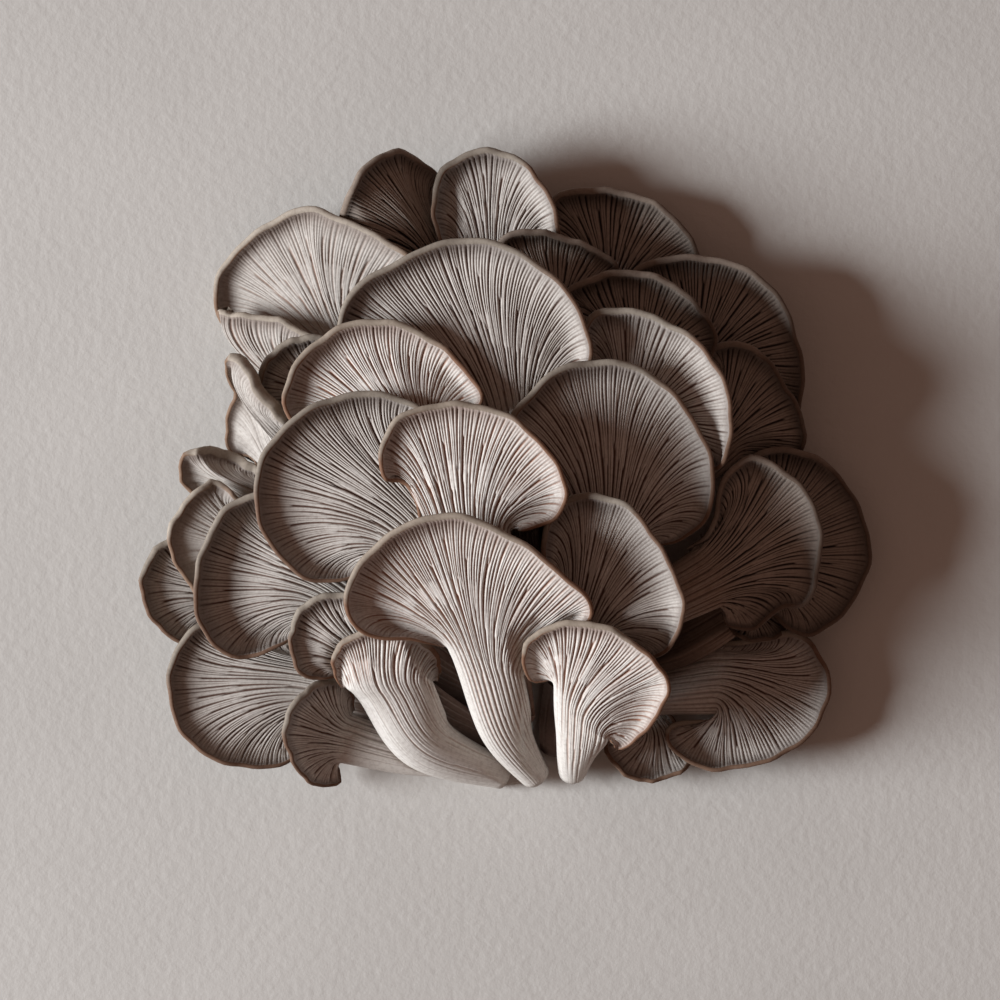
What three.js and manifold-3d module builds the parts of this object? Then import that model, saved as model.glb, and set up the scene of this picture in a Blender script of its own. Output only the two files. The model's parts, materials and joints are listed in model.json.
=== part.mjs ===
// A fresh cluster of grey oyster mushrooms lying on its back, gills up.
// Millimetres, +Z up, +Y from the cut stem ends towards the far caps.
// Each fruit body (cap, gills and stem grown as one) is one closed solid: a loft that runs up the stem
// and opens out into the cap. The solids are listed from the floor up, and each one is trimmed to lie
// just clear of those above it.

import * as THREE from 'three';
import { mergeVertices } from 'three/addons/utils/BufferGeometryUtils.js';
import Module from 'manifold-3d';

// Driving dimensions.
const JOINT_GAP = 0.35; // left between two fruit bodies that press together
const LIP_THICKNESS = 2.4; // margin of a cap, measured through its rounded edge
const LIP_ROUNDING = 1.2; // how far the rounded edge stands out past the gills
const NECK_FLATTENING = 0.62; // share of its height that a round stem loses by the cap
const NECK_FLARE = 1.5; // shortest gill, beside the stem
const GILL_PULL = 0.9; // how long a gill keeps its direction at either end
const DISH_BASE = 0.8; // depth of the dish of a cap with no neck width
const DISH_PER_NECK = 0.32; // extra depth for each millimetre of neck half width
const FULL_DISH_REACH = 1.5; // length of a gill that gives the full dish, in half widths of the neck
const EDGE_RISE = 1.4; // how far the gill side climbs up to the margin, inside the lip
const EDGE_RISE_REACH = 3; // how far inside the margin that climb starts
const FLESH_BASE = 2.3; // flesh thickness near the stem, in the same way
const FLESH_PER_NECK = 0.33;
const SIDE_TAPER_POWER = 8; // how late the flesh thins out towards the cap's two sides
const STEM_END_ROUNDING = 0.35; // bulge of the cut end, as a share of the stem's half width

// Loft resolution.
const COLUMN_WIDTH = 15; // of the margin's length, on average
const FEWEST_COLUMNS = 6;
const MOST_COLUMNS = 12;
const STEM_ROWS = [0, 0.35, 0.7];
const CAP_ROWS = [0, 0.22, 0.44, 0.64, 0.82, 0.93, 1];
const RIM_SAMPLES = 400;

const UP = new THREE.Vector3(0, 0, 1);

// stem: [x, y, z of its gill side, half width] at the root, on the way and where the cap begins.
// rim: [x, y, z] round the cap's margin, clockwise from the stem's left side to its right side.
// dish: how deep the cap is, as a share of the usual depth for its neck.
// lean: how many degrees the neck's section is turned to the right, for a cap that grew to one side.
const MUSHROOMS = {
  top_left: {
    dish: 0.5,
    stem: [[2, -25, 9.5, 4], [-7, 22, 9.5, 5], [-20, 62, 8, 7]],
    rim: [[-45, 62, 21], [-50, 73, 26], [-44, 88, 26], [-32, 96, 20], [-20, 89, 10], [-14, 72, 4]],
  },
  upper_right: {
    stem: [[12, -28, 9.5, 4], [22, 20, 9.5, 5], [32, 54, 6, 8]],
    rim: [[18, 60, 8], [13, 72, 10], [16, 82, 11], [28, 85, 12], [42, 82, 12], [54, 73, 12], [61, 60, 11],
      [56, 51, 8]],
  },
  bottom_small: {
    stem: [[18, -68, 7, 3.5], [30, -69, 7, 4.5], [43, -76, 7, 6]],
    rim: [[57, -85, 7.5], [50, -93, 8.5], [40, -94, 9.5], [31, -86, 9.5], [31, -78, 8.5]],
  },
  far_left: {
    dish: 0.6,
    stem: [[-15, -60, 9, 3.5], [-50, -50, 9, 5], [-84, -38, 6.5, 7]],
    rim: [[-90, -54, 9.5], [-101, -51, 11.5], [-108, -42, 12.5], [-110, -32, 13.5], [-104, -23, 13.5],
      [-91, -20, 12.5]],
  },
  top_centre: {
    stem: [[7, -30, 13, 4], [3, 20, 13, 5], [-3, 58, 12, 8]],
    rim: [[-17, 63, 13], [-22, 78, 14], [-19, 90, 15], [-6, 96, 17], [7, 92, 20], [15, 78, 21],
      [15, 66, 19]],
  },
  right_upper: {
    stem: [[18, -38, 11, 4], [40, 0, 11, 6], [58, 30, 9, 9]],
    rim: [[43, 46, 12], [39, 59, 15], [50, 64, 17], [66, 63, 18], [81, 54, 18], [89, 38, 18],
      [90, 24, 17], [86, 14, 14], [77, 11, 11]],
  },
  lower_right: {
    stem: [[14, -72, 10, 5], [40, -67, 11, 7.5], [62, -64, 10, 10]],
    rim: [[74, -51.5, 12], [88, -50, 12], [97, -59, 12], [98, -70, 13], [91, -81, 13], [78, -88, 13],
      [63, -91, 12], [52, -86, 11], [50, -78, 10]],
  },
  upper_left: {
    dish: 0.7,
    stem: [[-6, -35, 11.5, 4.5], [-27, 3, 12.5, 6.5], [-50, 39, 12, 9]],
    rim: [[-73, 36, 6], [-86, 45, 6], [-87, 58, 7], [-79, 69, 12], [-62, 78, 18], [-48, 75, 22],
      [-32, 67, 25], [-26, 59, 24], [-30, 50, 19]],
  },
  left_low: {
    dish: 0.6,
    stem: [[0, -76, 10.5, 4.5], [-32, -73, 10.5, 7], [-57, -66, 9, 9.5]],
    rim: [[-64, -88, 9], [-78, -90, 12], [-93, -84, 14], [-101, -73, 14], [-101, -59, 14], [-93, -48, 14],
      [-80, -45, 13], [-66, -52, 10]],
  },
  left_small: {
    dish: 0.5,
    stem: [[-12, -48, 17, 3], [-45, -26, 18, 4.5], [-73, -10, 18, 6]],
    rim: [[-88, -12, 18], [-97, -5, 18], [-97, 4, 20], [-88, 6, 24], [-78, 1, 24]],
  },
  upper_small: {
    stem: [[12, -10, 20, 3.5], [14, 25, 20, 5], [15, 49, 20, 7]],
    rim: [[-4, 58, 22], [-6, 65, 23], [4, 71, 24], [18, 70, 24], [29, 65, 24], [34, 58, 23]],
  },
  right: {
    stem: [[25, -38, 16, 4], [47, -10, 17, 6], [65, 9, 17, 8]],
    rim: [[60, 25, 20], [61, 34, 22], [66, 38, 23], [78, 34, 23], [88, 20, 21], [90, 8, 18],
      [85, -2, 16]],
  },
  left_upper: {
    dish: 0.5,
    stem: [[-12, -32, 16, 3.5], [-45, 2, 16, 5], [-62, 20, 15, 6]],
    rim: [[-69.5, 25, 14], [-73, 30.5, 12.5], [-77.5, 34.5, 11], [-82, 39.5, 10], [-85.5, 44.5, 10.5],
      [-87, 48.5, 12], [-81, 47.5, 15], [-73, 46, 17], [-67, 44.5, 18.5], [-61, 41.5, 20],
      [-55.5, 38.5, 21], [-55, 32, 19]],
  },
  right_hidden: {
    dish: 0.5,
    stem: [[28, -60, 11, 4], [52, -53.5, 12, 6.5], [72, -42, 14, 5.5]],
    rim: [[84, -41, 16], [84.5, -48, 16], [80, -51.5, 15.5], [73, -51.5, 15], [68, -47, 15]],
  },
  left_middle: {
    dish: 0.5,
    stem: [[-12, -56, 18, 3.5], [-45, -42, 20, 5], [-72, -27, 20, 7]],
    rim: [[-86, -42, 22], [-96, -34, 24], [-101, -22, 25], [-97, -11, 26], [-90, -4, 26], [-86, -4, 25],
      [-80, -9, 24]],
  },
  lower_left: {
    dish: 0.3,
    stem: [[-12, -90, 5, 3.5], [-29, -86.5, 8, 6], [-47.5, -81.5, 9.5, 7.5]],
    rim: [[-49.5, -94.5, 7], [-54, -96, 9], [-60.5, -93, 15], [-65, -87, 21], [-66.5, -79.5, 25],
      [-64, -72, 27], [-60, -66.5, 27], [-55, -63.5, 25], [-49, -63.5, 21], [-46, -67.5, 15]],
  },
  right_outer: {
    stem: [[22, -52, 8.5, 4], [46, -38, 9.5, 6], [70, -28, 7.5, 8]],
    rim: [[70, -12, 13.5], [74, 2, 15.5], [86, 6, 14.5], [100, 0, 12.5], [108, -14, 11.5],
      [110, -28, 11.5], [104, -42, 11.5], [92, -50, 12.5], [80, -43, 11.5]],
  },
  right_upper_inner: {
    stem: [[20, -25, 20, 4], [30, 5, 22, 6], [39, 30, 22, 8]],
    rim: [[24, 40, 25], [18, 51, 26], [24, 57, 27], [37, 59, 27], [52, 55, 27], [62, 44, 27],
      [62, 34, 25], [54, 28, 23]],
  },
  left_dark: {
    stem: [[-12, -24, 21, 3], [-33, 0, 22, 4.5], [-51, 20, 22, 6]],
    rim: [[-66, 14, 22], [-74, 22, 23], [-72, 33, 24], [-62, 39, 25], [-50, 38, 25]],
  },
  left_rolled: {
    dish: 0.3,
    stem: [[-10, -45, 21, 3.5], [-40, -24, 21, 5.5], [-68, 5, 20, 7]],
    rim: [[-76.5, 3.5, 16], [-80, 3.5, 15], [-83.5, 5.5, 15], [-84.5, 10, 15], [-83.5, 17, 17],
      [-82, 23, 20], [-84.5, 28, 24], [-84.5, 32, 28], [-82, 33.5, 30], [-78.5, 31, 31], [-74.5, 24, 31],
      [-70.5, 19.5, 30], [-65.5, 13.5, 26]],
  },
  left_lower_middle: {
    dish: 1.3,
    stem: [[-2, -70, 17, 5], [-26, -56, 21, 8.5], [-52, -38, 24, 9.5]],
    rim: [[-68, -53, 26], [-78, -57, 27], [-88, -52, 28], [-93, -39, 29], [-91, -24, 30], [-82, -11, 32],
      [-68, -8, 33], [-56, -18, 30]],
  },
  right_middle: {
    stem: [[18, -60, 22, 5], [40, -44, 26, 7.5], [60, -33, 25, 9.5]],
    rim: [[62, -18, 29], [66, -3, 31], [74, 4, 31], [86, -2, 30], [94, -14, 29], [95, -28, 28],
      [91, -40, 27], [84, -41, 25], [80, -43, 24], [75, -48, 24], [67, -47, 24]],
  },
  right_inner: {
    stem: [[20, -38, 25, 4.5], [31, -12, 27, 7], [39, 12, 28, 9.5]],
    rim: [[27, 27, 31], [23, 37, 33], [27, 46, 34], [40, 47, 36], [56, 40, 39], [65, 27, 41],
      [68, 13, 40], [64, 0, 36]],
  },
  left_inner: {
    dish: 0.5,
    stem: [[-2, -82, 13, 3.5], [-24, -71, 20, 7], [-43, -56, 25, 7.5]],
    rim: [[-60, -62, 26], [-65, -52, 28.5], [-61, -42, 31.5], [-50, -37, 34], [-40, -41, 34]],
  },
  upper_centre: {
    dish: 0.8,
    stem: [[6, -45, 25, 5], [2, -14, 32, 8.5], [-1, 13, 33, 12]],
    rim: [[-26, 18, 32], [-41, 25, 32], [-50, 36, 32], [-46, 52, 33], [-31, 63, 35], [-13, 69, 36],
      [5, 64, 38], [20, 52, 39], [26, 38, 39], [23, 26, 38]],
  },
  front_left: {
    dish: 0.5,
    lean: 30,
    stem: [[1.5, -93, 6, 4.5], [-23, -83.5, 19, 9.5], [-34.5, -66.5, 27, 13]],
    rim: [[-51.5, -61, 25], [-52, -56.5, 27.5], [-49.5, -52.5, 30], [-42, -49, 33], [-34.5, -48.5, 34],
      [-28, -50.5, 34], [-22, -54, 33], [-19, -59, 31]],
  },
  upper_left_centre: {
    dish: 0.8,
    stem: [[0, -45, 27, 4.5], [-14, -15, 34, 8], [-27, 8, 36, 10.5]],
    rim: [[-49, 7, 34], [-61, 12, 34], [-66, 21, 34], [-61, 34, 35], [-48, 43, 36], [-31, 43, 38],
      [-16, 35, 39], [-7, 21, 39]],
  },
  centre_right: {
    stem: [[16, -66, 27, 5], [24, -42, 34, 8], [30, -20, 34, 11]],
    rim: [[7, 2, 41], [1, 11, 41], [6, 21, 40], [16, 30, 40], [28, 32, 39], [42, 29, 38], [55, 18, 37],
      [62, 3, 36], [61, -12, 35], [53, -21, 33]],
  },
  left_centre: {
    dish: 0.8,
    stem: [[4, -68, 27, 5], [-8, -44, 35, 8.5], [-24, -21, 38, 11.5]],
    rim: [[-41, -30, 36], [-49, -33, 37], [-60, -32, 38], [-71, -22, 39], [-75, -8, 40], [-70, 7, 40],
      [-57, 19, 41], [-42, 23, 41], [-27, 19, 41], [-16, 6, 41]],
  },
  right_centre: {
    stem: [[15, -87, 8, 5], [17, -74, 18, 7], [23, -51, 38, 9]],
    rim: [[13, -37, 42], [11, -24, 43], [14, -13, 44], [24, -8, 46], [38, -12, 49], [48, -25, 51],
      [53, -40, 50], [50, -52, 45], [41, -58, 38]],
  },
  centre: {
    dish: 0.45,
    stem: [[5, -78, 16, 5], [-2, -50, 38, 9], [-10, -23, 45, 12.5]],
    rim: [[-26, -12, 42], [-30, -5, 43], [-36, -3, 45], [-37, 6, 46], [-30, 16, 47], [-14, 20, 49],
      [1, 16, 51], [13, 5, 52], [19, -6, 52], [15, -15, 49], [6, -18, 47]],
  },
  front_centre: {
    dish: 0.8,
    lean: 38,
    stem: [[11, -95, 6, 4.5], [0, -80, 24, 8.5], [-6.5, -60, 37, 12]],
    rim: [[-27, -51, 39], [-41, -49, 42], [-48, -40, 46], [-40, -24, 52], [-19, -14, 58], [2, -19.5, 59],
      [19, -33, 55], [26, -43, 49], [17, -53, 42]],
  },
  front_right: {
    dish: 0.4,
    lean: 43,
    stem: [[20.5, -95, 6, 4.3], [20.5, -85.5, 26, 7.4], [20.9, -74.3, 36, 11.5]],
    rim: [[8.5, -63.5, 34], [5.5, -59, 38], [5, -54.5, 41], [8, -50, 44], [15, -46.5, 47.5],
      [28, -46.5, 50.5], [37, -50, 50.5], [44, -56, 49], [48.5, -62.5, 45.5], [48, -69, 42],
      [44.5, -76, 38], [39.5, -81.5, 34], [34, -84, 31]],
  },
};

// Flesh and gill tints, dealt out in turn so that neighbours differ slightly.
const TINTS = [0xb9aea4, 0xaea297, 0xc2b8ae, 0xa5988c];

function lerp(from, to, share) {
  return from + (to - from) * share;
}

function smoothCurve(points) {
  const vectors = points.map(([x, y, z]) => new THREE.Vector3(x, y, z));
  return new THREE.CatmullRomCurve3(vectors, false, 'catmullrom');
}

// Where a stem is at a share of its length: the middle of its section, its directions and half sizes.
function stemSection(stem, lean, share) {
  const gillSide = smoothCurve(stem);
  const halfWidths = smoothCurve(stem.map((point) => [point[3], 0, 0]));
  const halfWidth = halfWidths.getPoint(share).x;
  const halfHeight = halfWidth * (1 - NECK_FLATTENING * share * share);
  const turn = THREE.MathUtils.degToRad(lean) * share;
  const heading = gillSide.getTangent(share);
  const forward = heading.clone().applyAxisAngle(UP, -turn);
  const right = new THREE.Vector3().crossVectors(forward, UP).normalize();
  const up = new THREE.Vector3().crossVectors(right, forward);
  const middle = gillSide.getPoint(share).addScaledVector(up, -halfHeight);
  return { middle, heading, forward, right, up, halfWidth, halfHeight };
}

// A point on the gill side of a stem section; across runs from 0 on its left to 1 on its right.
function onSection(section, across) {
  const angle = (across - 0.5) * Math.PI;
  return section.middle.clone()
    .addScaledVector(section.right, Math.sin(angle) * section.halfWidth)
    .addScaledVector(section.up, Math.cos(angle) * section.halfHeight);
}

// The cap's whole margin, from one side of the neck round to the other.
function marginCurve(neck, rim) {
  const left = onSection(neck, 0).addScaledVector(neck.right, -NECK_FLARE);
  const right = onSection(neck, 1).addScaledVector(neck.right, NECK_FLARE);
  const curve = smoothCurve([left.toArray(), ...rim, right.toArray()]);
  curve.arcLengthDivisions = RIM_SAMPLES;
  return curve;
}

// Which way the cap lies from a point of its margin's far side, level.
function outwardAt(margin, across) {
  const along = margin.getTangentAt(across);
  return new THREE.Vector3(-along.y, along.x, 0).normalize();
}

// How much of the full lip and flesh there is at a share of the way round the margin.
function sideTaper(across) {
  return 1 - (2 * across - 1) ** SIDE_TAPER_POWER;
}

// How far down the dish is at a share of the way along a gill: all of it at four fifths of the way.
function sag(share) {
  const most = 0.8 ** 4 * 0.2;
  return share ** 4 * (1 - share) / most;
}

// How much of the climb up to the margin is still to come at a distance from it.
function stillToClimb(distance) {
  const ratio = distance / EDGE_RISE_REACH;
  return ratio * Math.exp(1 - ratio);
}

// One gill of the cap as points from the neck to the margin. It leaves along the stem, meets the margin
// square on, and sags between them into the cap's dish.
function gillLine(neck, margin, dishShare, across) {
  const start = onSection(neck, across);
  const outward = outwardAt(margin, across);
  const end = margin.getPointAt(across).addScaledVector(outward, -LIP_ROUNDING * sideTaper(across));
  const forward = new THREE.Vector3(neck.heading.x, neck.heading.y, 0).normalize();
  const reach = Math.hypot(end.x - start.x, end.y - start.y);
  const room = Math.min(1, reach / (FULL_DISH_REACH * neck.halfWidth));
  const dish = room * dishShare * (DISH_BASE + DISH_PER_NECK * neck.halfWidth);
  const rise = room * Math.min(1, dishShare) * EDGE_RISE * sideTaper(across);
  return CAP_ROWS.map((share) => {
    const square = share * share;
    const cube = square * share;
    const point = start.clone().multiplyScalar(2 * cube - 3 * square + 1)
      .addScaledVector(forward, (cube - 2 * square + share) * reach * GILL_PULL)
      .addScaledVector(end, 3 * square - 2 * cube)
      .addScaledVector(outward, (cube - square) * reach * GILL_PULL);
    point.z = lerp(start.z, end.z, share) - dish * sag(share)
      - rise * square * stillToClimb((1 - share) * reach);
    return point;
  });
}

// Which way the gill side faces at one point of the cap's grid, from its neighbours.
function facing(rows, row, column) {
  const across = new THREE.Vector3().subVectors(
    rows[row][Math.min(column + 1, rows[row].length - 1)],
    rows[row][Math.max(column - 1, 0)],
  );
  const along = new THREE.Vector3().subVectors(
    rows[Math.min(row + 1, rows.length - 1)][column],
    rows[Math.max(row - 1, 0)][column],
  );
  return across.cross(along).normalize();
}

// The back of the fruit body under each point of the gill side, nearest the root first.
function backRows(stemRows, stemSections, capRows, neck, columns) {
  const flesh = FLESH_BASE + FLESH_PER_NECK * neck.halfWidth;
  const underStem = stemRows.map((row, index) => row.map((point, column) => {
    const angle = (columns[column] - 0.5) * Math.PI;
    const { up, halfHeight } = stemSections[index];
    return point.clone().addScaledVector(up, -2 * halfHeight * Math.cos(angle));
  }));
  const underCap = capRows.map((row, index) => row.map((point, column) => {
    const share = CAP_ROWS[index];
    const angle = (columns[column] - 0.5) * Math.PI;
    const stemDepth = 2 * neck.halfHeight * Math.cos(angle);
    const capDepth = lerp(flesh, LIP_THICKNESS, share) * sideTaper(columns[column]);
    const depth = lerp(stemDepth, capDepth, 1 - (1 - share) ** 2);
    const turn = Math.min(1, 3 * share);
    const normal = facing(capRows, index, column);
    const direction = neck.up.clone().lerp(normal, turn).normalize();
    return point.clone().addScaledVector(direction, -depth);
  }));
  return [...underStem, ...underCap];
}

// The rounded edge between the gill side's last row and the back's last row.
function lipRow(front, back, margin, columns) {
  return front.map((point, column) => {
    const across = columns[column];
    const stand = LIP_ROUNDING * sideTaper(across);
    return point.clone().lerp(back[column], 0.5).addScaledVector(outwardAt(margin, across), stand);
  });
}

// The closed surface of one fruit body. The first and last columns of the back are the gill side's own,
// so the loft closes along both sides; the lip closes one end and a fan closes the root.
function fruitBodyGeometry({ stem, rim, dish = 1, lean = 0 }) {
  const neck = stemSection(stem, lean, 1);
  const margin = marginCurve(neck, rim);
  const wantedColumns = Math.round(margin.getLength() / COLUMN_WIDTH);
  const last = Math.min(MOST_COLUMNS, Math.max(FEWEST_COLUMNS, wantedColumns));
  const columns = Array.from({ length: last + 1 }, (_, index) => index / last);
  const stemSections = STEM_ROWS.map((share) => stemSection(stem, lean, share));
  const stemRows = stemSections.map((section) => columns.map((across) => onSection(section, across)));
  const gills = columns.map((across) => gillLine(neck, margin, dish, across));
  const capRows = CAP_ROWS.map((_, row) => gills.map((gill) => gill[row]));
  const front = [...stemRows, ...capRows];
  const back = backRows(stemRows, stemSections, capRows, neck, columns);
  const lip = lipRow(front.at(-1), back.at(-1), margin, columns);

  const positions = [];
  const indices = [];
  const place = (point) => positions.push(point.x, point.y, point.z) / 3 - 1;
  const frontIndex = front.map((row) => row.map(place));
  const backIndex = back.map((row, level) => row.map((point, column) => (
    column === 0 || column === last ? frontIndex[level][column] : place(point))));
  const lipIndex = lip.map((point, column) => (
    column === 0 || column === last ? frontIndex.at(-1)[column] : place(point)));
  const rootMiddle = stemSections[0].middle.clone()
    .addScaledVector(stemSections[0].forward, -STEM_END_ROUNDING * stemSections[0].halfWidth);
  const rootIndex = place(rootMiddle);

  const addTriangle = (a, b, c) => {
    if (a !== b && b !== c && c !== a) indices.push(a, b, c);
  };
  const addStrip = (near, far) => {
    for (let column = 0; column < last; column += 1) {
      addTriangle(near[column], near[column + 1], far[column + 1]);
      addTriangle(near[column], far[column + 1], far[column]);
    }
  };
  for (let level = 0; level + 1 < front.length; level += 1) {
    addStrip(frontIndex[level], frontIndex[level + 1]);
    addStrip(backIndex[level + 1], backIndex[level]);
  }
  addStrip(frontIndex.at(-1), lipIndex);
  addStrip(lipIndex, backIndex.at(-1));
  for (let column = 0; column < last; column += 1) {
    addTriangle(rootIndex, frontIndex[0][column + 1], frontIndex[0][column]);
    addTriangle(rootIndex, backIndex[0][column], backIndex[0][column + 1]);
  }

  const geometry = new THREE.BufferGeometry();
  geometry.setAttribute('position', new THREE.Float32BufferAttribute(positions, 3));
  geometry.setIndex(indices);
  return geometry;
}

// Backs that reach the table are pressed flat on it.
function restOnTable(geometry) {
  const position = geometry.getAttribute('position');
  for (let index = 0; index < position.count; index += 1) {
    position.setZ(index, Math.max(0, position.getZ(index)));
  }
}

// The same surface, moved out along its normals.
function grown(geometry, distance) {
  const bigger = geometry.clone();
  bigger.computeVertexNormals();
  const position = bigger.getAttribute('position');
  const normal = bigger.getAttribute('normal');
  for (let index = 0; index < position.count; index += 1) {
    position.setXYZ(
      index,
      position.getX(index) + distance * normal.getX(index),
      position.getY(index) + distance * normal.getY(index),
      position.getZ(index) + distance * normal.getZ(index),
    );
  }
  bigger.deleteAttribute('normal');
  return bigger;
}

const wasm = await Module();
wasm.setup();

function toSolid(geometry) {
  const merged = mergeVertices(geometry, 1e-4);
  return new wasm.Manifold(new wasm.Mesh({
    numProp: 3,
    vertProperties: Float32Array.from(merged.getAttribute('position').array),
    triVerts: Uint32Array.from(merged.getIndex().array),
  }));
}

function toGeometry(solid) {
  const { vertProperties, triVerts } = solid.getMesh();
  const geometry = new THREE.BufferGeometry();
  geometry.setAttribute('position', new THREE.Float32BufferAttribute(vertProperties, 3));
  geometry.setIndex(Array.from(triVerts));
  return geometry;
}

function largestPiece(solid) {
  return solid.decompose().reduce((best, piece) => (piece.volume() > best.volume() ? piece : best));
}

const cluster = new THREE.Group();
const names = Object.keys(MUSHROOMS);
const geometries = names.map((name) => fruitBodyGeometry(MUSHROOMS[name]));
geometries.forEach(restOnTable);
const cutters = geometries.map((geometry) => toSolid(geometry).add(toSolid(grown(geometry, JOINT_GAP))));
geometries.forEach((geometry, index) => {
  let solid = toSolid(geometry);
  for (const cutter of cutters.slice(index + 1)) {
    solid = solid.subtract(cutter);
  }
  const material = new THREE.MeshStandardMaterial({
    color: TINTS[index % TINTS.length],
    roughness: 0.75,
    metalness: 0,
  });
  const mesh = new THREE.Mesh(toGeometry(largestPiece(solid)), material);
  mesh.name = names[index];
  cluster.add(mesh);
});

// The origin is on the table under the middle of the cluster's box.
const middle = new THREE.Box3().setFromObject(cluster).getCenter(new THREE.Vector3());
cluster.position.set(-middle.x, -middle.y, 0);

export default cluster;
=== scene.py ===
"""A fresh cluster of grey oyster mushrooms lying on its back on a plaster table, gills up.

Each fruit body is the loft of the CAD node that it replaces, made fine: the same stem and margin, with
real gills cut into its gill side. Lengths in the tables are millimetres; everything sent to Blender is
in metres.
"""

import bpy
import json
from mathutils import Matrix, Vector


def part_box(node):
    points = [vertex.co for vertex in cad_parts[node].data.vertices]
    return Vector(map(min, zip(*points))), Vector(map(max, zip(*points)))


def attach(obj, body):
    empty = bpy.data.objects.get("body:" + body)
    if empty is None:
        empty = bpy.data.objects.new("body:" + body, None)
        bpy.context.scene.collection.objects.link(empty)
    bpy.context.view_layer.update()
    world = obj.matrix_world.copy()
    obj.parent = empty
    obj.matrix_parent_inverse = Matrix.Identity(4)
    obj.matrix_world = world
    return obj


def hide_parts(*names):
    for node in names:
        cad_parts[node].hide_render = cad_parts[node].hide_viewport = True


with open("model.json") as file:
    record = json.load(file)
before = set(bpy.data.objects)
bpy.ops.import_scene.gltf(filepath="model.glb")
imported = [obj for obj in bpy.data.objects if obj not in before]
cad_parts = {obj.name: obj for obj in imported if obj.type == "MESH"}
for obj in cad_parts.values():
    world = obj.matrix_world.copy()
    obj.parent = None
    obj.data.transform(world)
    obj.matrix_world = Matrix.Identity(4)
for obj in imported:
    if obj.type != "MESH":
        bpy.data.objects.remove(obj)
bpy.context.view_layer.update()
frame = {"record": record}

import copy
import json
import math

import bpy
import numpy as np
from mathutils import Matrix, Vector

MM = 0.001
UP = np.array([0.0, 0.0, 1.0])

# What each point of a fruit body tells its material, from 0 to 1 unless a length is named.
ATTRIBUTES = (
    "gill",  # 1 on a gill's edge, 0 in the gap between two gills
    "tone",  # each gill's own shade
    "cap",  # share of the way from the stem to the margin
    "stem",  # 1 on the stem, 0 on the cap
    "skin",  # 0 on the gill side, 1 on the back
    "down",  # share of the way up the stem
    "sideways",  # millimetres round the stem
    "brown",  # painted shade: 1 where the margin is thin, on the side away from the light, where it is painted darker brown
    "line",  # 1 where a brown line ends the skin inside the margin
    "aged",  # painted shade: 1 at the root of a covered stem, which is painted dark
    "browned",  # painted shade: how far the gills are painted darker near the margin, where the raised rim shades them
)

# The loft, as in the CAD.
NECK_FLATTENING = 0.62
NECK_FLARE = 1.5
GILL_PULL = 0.9
DISH_BASE = 0.8
DISH_PER_NECK = 0.32
FULL_DISH_REACH = 1.5
EDGE_RISE = 1.4
EDGE_RISE_REACH = 3.0
FLESH_BASE = 2.3
FLESH_PER_NECK = 0.33
SIDE_TAPER_POWER = 8
STEM_END_ROUNDING = 0.35

# The fine margin.
MARGIN_INSET = 0.9
THIN_MARGIN = 1.2  # thickness through the rounded edge of a cap
THICK_MARGIN = 1.8
THIN_ROUNDING = 0.5  # how far the rounded edge stands out past the gills
THICK_ROUNDING = 0.9
THICK_SIDE = (-0.4, 0.9, 0.0)  # the caps are thickest towards the far side
ROLLED_LIPS = {"left_rolled": 4.0, "left_small": 2.6}  # the thickest part of margins rolled up and over
ROLLED_SIDE = (0.5, 0.85, 0.0)
MARGIN_ROWS = 4
MARGIN_ROLL = 0.45  # how far the rounded edge curls in over the gills, in radians
MARGIN_WAVES = ((3, 0.4), (8, 0.22), (15, 0.12))  # waves round the cap, and how high each is

# The gills.
STRONGEST = 8  # the gills that run down the stem stand this many gills apart
FEWEST_STRONG_GILLS = 3
GILL_SPACING = 1.1  # at the margin, where every gill is present
COLUMNS_PER_GILL = 5
GILL_DEPTH = 1.0
STEM_RIDGE_DEPTH = 0.5
INSERTION_GAP = 1.9  # how wide a gap grows before a new gill starts in it
FULL_PITCH = 1.4  # gills that stand closer than this have shallower gaps between them
EDGE_SHARE = 0.12  # the flat top of a gill, as a share of the distance to the next one
MARGIN_SHADE_REACH = 7.0  # how far inside the margin the painted shade on the gills starts
MARGIN_SHADE_SHARE = 0.2  # the most that this is of a gill's length
NARROW_REACH = 2.2  # the same on the thin side of each cap, where they are darkest at the margin
MARGIN_SHADE_SIDE = (-0.75, 0.66)  # the side of each cap where the painted shade is strongest, inside the rim that stands between the gills and the light
LEAST_MARGIN_SHADE = 0.5  # how much of it the opposite side has
GAP_CONTRAST = 1.6  # how much sooner than its depth a gap takes on its full colour, which is partly painted shade
FAINT_GILLS = {"upper_left": 0.55, "left_upper": 0.6, "left_rolled": 0.2, "left_small": 0.45,
               "left_middle": 0.5}  # how deep their gaps are beside those of the others
LEVEL_HEIGHTS = {STRONGEST: 1.0, 4: 0.95, 2: 0.9, 1: 0.85}
GILL_SHIFT = 0.09  # how far a gill stands beside its even place, in gills
GILL_SWAY = 0.12  # how far it sways on its way to the margin, in gills
SWAY_PER_ROW = 0.35  # radians of that sway for each row of points
STEM_GILLS = ((0.12, 0.45), (0.92, 1.0))  # where they set in across a stem and end, from its left side
GAP_ENDS = (-0.9, 0.5)  # where the gaps run out down the stem, as shares of its length
GILL_END = 0.965  # share of the way to the margin where the gaps start to close
FULL_FLESH = 3.5  # thinner flesh than this has shallower gaps

# Rows of points.
BACK_STRIDE = 2 * COLUMNS_PER_GILL  # columns of the gill side for each one of the back
MARGIN_STRIDE = 2
CAP_ROW_LENGTH = 1.6
SHOWN_STEM_ROW_LENGTH = 1.5
HIDDEN_STEM_ROW_LENGTH = 5.0
SHOWN_STEMS = ("front_centre", "front_right", "front_left", "lower_left")
ROW_CROWDING = 0.85  # below 1, rows stand closer towards the margin
INNER_CAP = 0.6  # share of a gill up to which every second column of points is left out

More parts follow.
